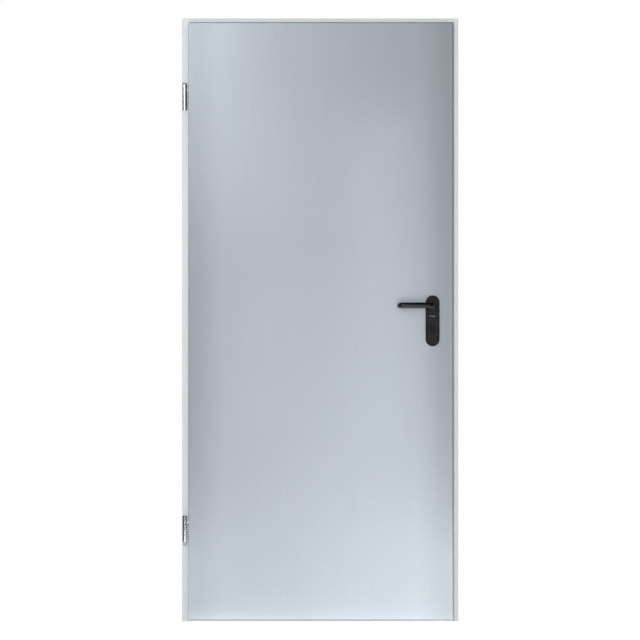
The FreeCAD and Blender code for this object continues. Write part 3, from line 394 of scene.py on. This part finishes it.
def stadium_rings(half_straight, offsets, heights, straight_steps=110, arc_steps=56):
    """Rings round a spine: a point is spine(u) + offset * normal(u), raised by its height.

    The spine runs up and down one straight line, half_straight above and below its middle; the normal
    is constant along it and turns through 180 degrees at each end, so every ring is a stadium. The last
    axis holds across, up and height.
    """
    climb = np.linspace(-half_straight, half_straight, straight_steps, endpoint=False)
    turn = np.linspace(0, math.pi, arc_steps, endpoint=False)
    spine = np.concatenate([climb, np.full(arc_steps, half_straight),
                            -climb, np.full(arc_steps, -half_straight)])
    angle = np.concatenate([np.zeros(straight_steps), turn,
                            np.full(straight_steps, math.pi), turn + math.pi])
    across = offsets[:, None] * np.cos(angle)
    up = spine + offsets[:, None] * np.sin(angle)
    return np.stack([across, up, np.broadcast_to(heights[:, None], across.shape)], axis=-1)


def dip(distance, width, depth):
    """A round groove: depth * cos(pi d / width) squared within half its width, else nothing."""
    inside = np.abs(distance) < width / 2
    return np.where(inside, depth * np.cos(math.pi * distance / width) ** 2, 0.0)


def handle_plate(name, node, face, outward):
    """The plate with its rolled rim, sunk field, ring round the lever and groove round the key insert.

    Stadium rings from the middle of the back, round the rim's quarter circle, to the middle of the
    front; on the front the height is less by the grooves, each a function of the distance to its line.
    """
    low, high = place(node)
    half_wide, half_high = (high[0] - low[0]) / 2, (high[2] - low[2]) / 2
    thick = high[1] - low[1]
    middle_z = (low[2] + high[2]) / 2
    rim = arc((half_wide - RIM_RADIUS, thick - RIM_RADIUS), RIM_RADIUS, 0, 90, 14)
    field = np.linspace(half_wide - RIM_RADIUS, 0, 70)[1:]
    offsets = np.concatenate([[0, half_wide - WALL_FOOT, half_wide], rim[:, 0], field])
    heights = np.concatenate([[0, 0, WALL_FOOT], rim[:, 1], np.full(field.size, thick)])
    rings = stadium_rings(half_high - half_wide, offsets, heights)
    across, up, height = rings[..., 0], rings[..., 1], rings[..., 2]

    # The key hole's outline: a circle above and a narrower stadium below it
    key_low, key_high = place("key_insert")
    round_radius = (key_high[0] - key_low[0]) / 2
    round_z = key_high[2] - round_radius - middle_z
    flat_radius = round_radius * KEY_FLAT_SHARE
    flat_z = key_low[2] + flat_radius - middle_z
    from_round = np.hypot(across, up - round_z) - round_radius
    from_flat = np.hypot(across, up - np.clip(up, flat_z, round_z)) - flat_radius
    from_key = np.minimum(from_round, from_flat)
    from_lever = np.hypot(across, up - (lever_z - middle_z))

    from_edge = (half_wide - offsets)[:, None]
    sunk = FIELD_DEEP * np.clip((from_edge - FIELD_IN) / FIELD_SLOPE, 0, 1)
    grooves = (dip(from_lever - RING_RADIUS, GROOVE_WIDE, RING_DEEP)
               + dip(from_key - KEY_GROOVE_OUT, GROOVE_WIDE, KEY_GROOVE_DEEP))
    on_front = np.arange(offsets.size)[:, None] >= offsets.size - field.size
    height = height - np.where(on_front, sunk + grooves, 0.0)
    points = np.stack([lever_x + across, face + outward * height, middle_z + up], axis=-1)
    return grid_mesh(name, points, wrap_columns=True, sharp=50)


SIDES = (("front", leaf_front, -1), ("back", leaf_back, 1))

for side, face, outward in SIDES:
    shell = handle_plate(f"plate_shell_{side}", f"handle_plate_{side}", face, outward)
    piece(f"plate_shell_{side}", shell, handle_plastic, "leaf", "handle_plastic", f"handle_plate_{side}")


# The levers

GRIP_RADIUS = 9.75 * MM
COLLAR_RADIUS, COLLAR_THICK, COLLAR_EDGE = 12.5 * MM, 3.0 * MM, 0.9 * MM
NECK_FILLET = 1.2 * MM
# Clearance between the collar and the plate
COLLAR_CLEAR = 0.3 * MM
# Radius of the bend at the neck and at the tip, and how far the tip comes back to the door
NECK_BEND, TIP_BEND, TIP_BACK = 20 * MM, 17 * MM, 19 * MM


def lever(name, side, outward):
    """Collar, neck, bend, grip and returned tip as one skin.

    The middle line leaves the plate along Y, turns to -X round a quarter circle, runs straight, and
    turns back to the door. The skin is middle + radius(s) * (cos a * normal + sin a * up); the radius
    steps from the collar to the neck and ends as a half ball, radius * cos b for b from 0 to 90 degrees.
    """
    low, high = place(f"lever_{side}")
    outer = int(outward > 0)
    foot = place(f"handle_plate_{side}")[outer][1] + outward * COLLAR_CLEAR
    grip_out = abs((low, high)[outer][1] - foot) - GRIP_RADIUS
    reach = lever_x - low[0] - GRIP_RADIUS

    # The middle line in the plane of X and outward Y
    neck_heights = np.linspace(COLLAR_THICK + NECK_FILLET, grip_out - NECK_BEND, 10)
    neck = np.column_stack([np.zeros(10), neck_heights])
    first = arc((-NECK_BEND, grip_out - NECK_BEND), NECK_BEND, 0, 90, 26)
    grip = np.column_stack([np.linspace(-NECK_BEND, TIP_BEND - reach, 60), np.full(60, grip_out)])
    second = arc((TIP_BEND - reach, grip_out - TIP_BEND), TIP_BEND, 90, 180, 26)
    end = np.array([[-reach, grip_out - TIP_BACK]])
    line = np.concatenate([neck, first[1:], grip[1:], second[1:], end])
    tangent = np.gradient(line, axis=0)
    tangent /= np.linalg.norm(tangent, axis=1, keepdims=True)
    radii = np.full(len(line), GRIP_RADIUS)

    # Half ball at the tip
    ball = np.radians(np.linspace(0, 90, 16))[1:]
    line = np.concatenate([line, line[-1] + np.outer(GRIP_RADIUS * np.sin(ball), tangent[-1])])
    tangent = np.concatenate([tangent, np.repeat(tangent[-1:], ball.size, axis=0)])
    radii = np.concatenate([radii, GRIP_RADIUS * np.cos(ball)])

    # Collar below the neck, with a rounded edge and a small fillet into the neck
    edge = arc((COLLAR_RADIUS - COLLAR_EDGE, COLLAR_THICK - COLLAR_EDGE), COLLAR_EDGE, 0, 90, 7)
    fillet = arc((GRIP_RADIUS + NECK_FILLET, COLLAR_THICK + NECK_FILLET), NECK_FILLET, 270, 180, 7)
    collar = np.concatenate([[[0, 0], [COLLAR_RADIUS, 0]], edge, fillet[:-1]])
    line = np.concatenate([np.column_stack([np.zeros(len(collar)), collar[:, 1]]), line])
    tangent = np.concatenate([np.tile([[0.0, 1.0]], (len(collar), 1)), tangent])
    radii = np.concatenate([collar[:, 0], radii])

    angle = np.linspace(0, 2 * math.pi, 64, endpoint=False)
    normal = np.column_stack([-tangent[:, 1], tangent[:, 0]])
    aside = radii[:, None] * np.cos(angle)
    up = radii[:, None] * np.sin(angle)
    x = lever_x + line[:, :1] + aside * normal[:, :1]
    y = foot + outward * (line[:, 1:] + aside * normal[:, 1:])
    return grid_mesh(name, np.stack([x, y, lever_z + up], axis=-1), wrap_columns=True)


for side, _, outward in SIDES:
    shell = lever(f"lever_shell_{side}", side, outward)
    piece(f"lever_shell_{side}", shell, lever_plastic, "lever_set", "handle_plastic", f"lever_{side}")


# Small pieces


def screw_head(centre, radius, thick, rise, recess, arm, steps=120):
    """A low screw head that faces along +Y, with a cross pressed into it.

    Polar grid: thick + rise * (1 - (r / radius) squared) - recess * w, where w is 1 inside the bars that
    are arm wide, falls to 0 over a third of that width, and ends at 0.6 of the radius.
    """
    r = np.concatenate([[radius, radius], np.linspace(radius * 0.97, 0, 44)])
    a = np.linspace(0, 2 * math.pi, steps, endpoint=False)
    across, up = r[:, None] * np.cos(a), r[:, None] * np.sin(a)
    from_bar = np.minimum(np.abs(across), np.abs(up))
    inside = np.clip((arm / 2 + arm / 3 - from_bar) / (arm / 3), 0, 1)
    inside = inside * np.clip((0.6 * radius - r[:, None]) / (0.1 * radius), 0, 1)
    height = thick + rise * (1 - (r[:, None] / radius) ** 2) - recess * inside
    height[0] = 0.0
    height[1] = thick * 0.8
    points = np.stack([centre[0] + across, centre[1] + height, centre[2] + up], axis=-1)
    return grid_mesh("head", points, wrap_columns=True, sharp=40)


def strip_along_x(name, section, start, end):
    """A closed section of (y, z) corners drawn along X from start to end, with flat ends."""
    section = np.asarray(section)
    middle = np.tile(section.mean(axis=0), (len(section), 1))
    rows = [np.column_stack([np.full(len(section), x), ring])
            for x, ring in ((start, middle), (start, section), (end, section), (end, middle))]
    return grid_mesh(name, np.stack(rows), wrap_columns=True, sharp=30)


# Front lip of the floor rail, which closes the slot under the leaf
LIP_HIGH, LIP_THICK = 4.5 * MM, 1.5 * MM
LIP_OUTER_BEND, LIP_INNER_BEND = 2 * MM, 0.5 * MM
lip_front = leaf_front + 2 * MM
lip_back = place("threshold_rail")[0][1] - 1 * MM
bend_centre = (lip_front + LIP_OUTER_BEND, LIP_OUTER_BEND)
lip = np.concatenate([
    [[lip_front, LIP_HIGH]], arc(bend_centre, LIP_OUTER_BEND, 180, 270, 8),
    [[lip_back, 0.0], [lip_back, LIP_THICK]], arc(bend_centre, LIP_INNER_BEND, 270, 180, 8),
    [[lip_front + LIP_THICK, LIP_HIGH]]])
lip_strip = strip_along_x("rail_front_lip", lip, leaf_low[0], leaf_high[0])
piece("rail_front_lip", lip_strip, rail_zinc, "frame", "rail_steel")

# Light grey index bar on the front plate, between the lever and the key hole
BAR_WIDE, BAR_HIGH, BAR_PROUD, BAR_Z = 20 * MM, 1.9 * MM, 0.25 * MM, 1.0145
bar_field = place("handle_plate_front")[0][1] + FIELD_DEEP
bar_offsets = np.array([0, 1, 1, 0.7, 0]) * BAR_HIGH / 2
bar_heights = np.array([-0.5, -0.5, 0.6, 1.0, 1.0]) * BAR_PROUD
rings = stadium_rings(BAR_WIDE / 2 - BAR_HIGH / 2, bar_offsets, bar_heights, 30, 16)
bar = np.stack([lever_x + rings[..., 1], bar_field - rings[..., 2], BAR_Z + rings[..., 0]], axis=-1)
bar_mesh = grid_mesh("index_bar", bar, wrap_columns=True)
piece("index_bar", bar_mesh, mark_plastic, "leaf", "handle_plastic")

# Screw heads on the back plate
HEAD_RADIUS, HEAD_SUNK = 4.5 * MM, 0.9 * MM
screw_low, screw_high = place("plate_screws")
plate_back = place("handle_plate_back")[1][1] - HEAD_SUNK
heads = [screw_head((lever_x, plate_back, z), HEAD_RADIUS, thick=1.4 * MM, rise=0.5 * MM,
                    recess=1.1 * MM, arm=1.1 * MM)
         for z in (screw_low[2] + HEAD_RADIUS, screw_high[2] - HEAD_RADIUS)]
piece("screw_heads", joined("screw_heads", *heads), lock_zinc, "leaf", "lock_steel", "plate_screws")


# Floor, backdrop and light

STUDIO_REACH = 40.0
# Strength of the floor as the gloss sees it: before the door, far to the side, and at the door's foot
FLOOR_NEAR, FLOOR_FAR, FOOT_BOOST = 1.04, 0.13, 2.0
# Strength of the room as the gloss sees it: at the sides, ahead, and ahead but high up
ROOM_SIDE, ROOM_AHEAD, ROOM_HIGH_SHARE = 0.02, 0.945, 0.3
ROOM_PLAIN = 0.55


def studio_floor():
    """A pale floor: white to the camera with a faint shadow, and a white field near the door for gloss."""
    half = STUDIO_REACH
    corners = np.array([[[-half, -half, 0], [half, -half, 0]], [[-half, half, 0], [half, half, 0]]], float)
    mesh = grid_mesh("studio_floor", corners)
    floor = bpy.data.objects.new("studio_floor", mesh)
    scene.collection.objects.link(floor)
    material = bpy.data.materials.new("studio_floor_paint")
    material.use_nodes = True
    tree = material.node_tree
    tree.nodes.clear()
    rays = add(tree, "ShaderNodeLightPath")
    plain = add(tree, "ShaderNodeBsdfDiffuse", {"Color": linear("#eeeeec")})
    glow = add(tree, "ShaderNodeEmission", {"Strength": 1.1})
    white = add(tree, "ShaderNodeMixShader", {"Fac": 0.85, 1: plain.outputs[0], 2: glow.outputs[0]})
    seen = add(tree, "ShaderNodeMath",
               {0: rays.outputs["Is Camera Ray"], 1: rays.outputs["Is Transmission Ray"]},
               operation="MAXIMUM")
    place_on = add(tree, "ShaderNodeTexCoord").outputs["Object"]
    parts = add(tree, "ShaderNodeSeparateXYZ", {"Vector": place_on})
    side = add(tree, "ShaderNodeMath", {0: parts.outputs["X"]}, operation="ABSOLUTE")
    near = add(tree, "ShaderNodeMapRange",
               {"Value": side.outputs[0], "From Min": 1.2, "From Max": 3.0,
                "To Min": FLOOR_NEAR, "To Max": FLOOR_FAR}, interpolation_type="SMOOTHSTEP")
    depth = add(tree, "ShaderNodeMath", {0: parts.outputs["Y"]}, operation="ABSOLUTE")
    foot = add(tree, "ShaderNodeMapRange",
               {"Value": depth.outputs[0], "From Min": 0.04, "From Max": 0.26,
                "To Min": FOOT_BOOST, "To Max": 1.0}, interpolation_type="SMOOTHSTEP")
    strength = add(tree, "ShaderNodeMath", {0: near.outputs[0], 1: foot.outputs[0]}, operation="MULTIPLY")
    gloss = add(tree, "ShaderNodeEmission", {"Strength": strength.outputs[0]})
    first = add(tree, "ShaderNodeMixShader",
                {"Fac": rays.outputs["Is Glossy Ray"], 1: plain.outputs[0], 2: gloss.outputs[0]})
    whole = add(tree, "ShaderNodeMixShader",
                {"Fac": seen.outputs[0], 1: first.outputs[0], 2: white.outputs[0]})
    add(tree, "ShaderNodeOutputMaterial", {"Surface": whole.outputs[0]})
    mesh.materials.append(material)


def studio_air():
    """The room: white to the camera; to gloss, bright before and behind the door and dark at its sides."""
    world = bpy.data.worlds.new("studio")
    world.use_nodes = True
    scene.world = world
    tree = world.node_tree
    tree.nodes.clear()
    rays = add(tree, "ShaderNodeLightPath")
    direction = add(tree, "ShaderNodeTexCoord").outputs["Generated"]
    way = add(tree, "ShaderNodeSeparateXYZ", {"Vector": direction})
    ahead = add(tree, "ShaderNodeMath", {0: way.outputs["Y"]}, operation="ABSOLUTE")
    facing = add(tree, "ShaderNodeMapRange",
                 {"Value": ahead.outputs[0], "From Min": 0.68, "From Max": 0.84,
                  "To Min": ROOM_SIDE, "To Max": ROOM_AHEAD}, interpolation_type="SMOOTHSTEP")
    rise = add(tree, "ShaderNodeMapRange",
               {"Value": way.outputs["Z"], "From Min": 0.0, "From Max": 0.6,
                "To Min": 1.0, "To Max": ROOM_HIGH_SHARE})
    gloss = add(tree, "ShaderNodeMath", {0: facing.outputs[0], 1: rise.outputs[0]}, operation="MULTIPLY")
    white = add(tree, "ShaderNodeMath",
                {0: rays.outputs["Is Camera Ray"], 1: rays.outputs["Is Transmission Ray"]},
                operation="MAXIMUM")
    soft = add(tree, "ShaderNodeMix", {0: rays.outputs["Is Glossy Ray"], 2: ROOM_PLAIN, 3: gloss.outputs[0]})
    level = add(tree, "ShaderNodeMix", {0: white.outputs[0], 2: soft.outputs[0], 3: 1.0})
    sky = add(tree, "ShaderNodeBackground", {"Color": linear("#ffffff"), "Strength": level.outputs[0]})
    add(tree, "ShaderNodeOutputWorld", {"Surface": sky.outputs[0]})


def look(middle, target):
    """Turn of a lamp whose -Z axis points from its middle to the target."""
    dx, dy, dz = (b - a for a, b in zip(middle, target))
    return math.atan2(math.hypot(dx, dy), -dz), 0.0, math.atan2(dy, dx) - math.pi / 2


def soft_box(name, middle, target, wide, high, radiance, gloss=True, plain=True):
    """A soft rectangular lamp; its power is radiance * pi * area. It lights glossy or plain faces or both."""
    data = bpy.data.lights.new(name, "AREA")
    data.shape = "RECTANGLE"
    data.size, data.size_y = wide, high
    data.energy = radiance * math.pi * wide * high
    lamp = bpy.data.objects.new(name, data)
    lamp.location = middle
    lamp.rotation_euler = look(middle, target)
    lamp.visible_camera = False
    lamp.visible_glossy = gloss
    lamp.visible_diffuse = plain
    scene.collection.objects.link(lamp)


# Lamps that only feed the gloss: name, middle, target, width, height and radiance. Their strengths
# were fitted so that the zinc's sheen runs as it does in the photo
GLOSS_LAMPS = (
    ("low_stripe", (0.27, -2.1, 0.12), (0.3, 0.0, 1.05), 0.24, 0.12, 17.0),
    ("floor_far", (0.05, -0.95, 0.01), (0.05, -0.95, 1.0), 1.6, 0.7, 0.28),
    ("floor_left", (-0.66, -0.5, 0.13), (-0.3, 0.0, 0.12), 0.45, 0.22, 1.7),
    ("floor_right", (0.68, -0.42, 0.13), (0.4, 0.0, 0.12), 0.45, 0.22, 1.9),
    ("top_left", (-1.2, -1.6, 2.2), (-0.3, 0.0, 1.8), 0.8, 0.8, 7.3),
    ("middle", (0.0, -0.55, 1.05), (0.0, 0.0, 1.05), 0.3, 1.1, 0.114),
    ("middle_right", (0.22, -0.4, 1.15), (0.22, 0.0, 1.15), 0.2, 1.1, 0.236),
    ("middle_left", (-0.22, -0.4, 1.15), (-0.22, 0.0, 1.15), 0.2, 1.1, 0.102),
    ("right_edge", (1.6, 0.25, 0.9), (0.45, -0.03, 0.9), 0.3, 1.6, 0.8),
)

studio_floor()
studio_air()
# The one lamp for plain faces, from low on the left, throws the leaf's narrow shadow on the frame's face
soft_box("key", (-0.45, -3.5, 1.7), (0.0, 0.0, 1.0), 0.5, 0.5, 80.0, gloss=False)
for name, middle, target, wide, high, radiance in GLOSS_LAMPS:
    soft_box(name, middle, target, wide, high, radiance, plain=False)

scene.view_settings.view_transform = "Standard"
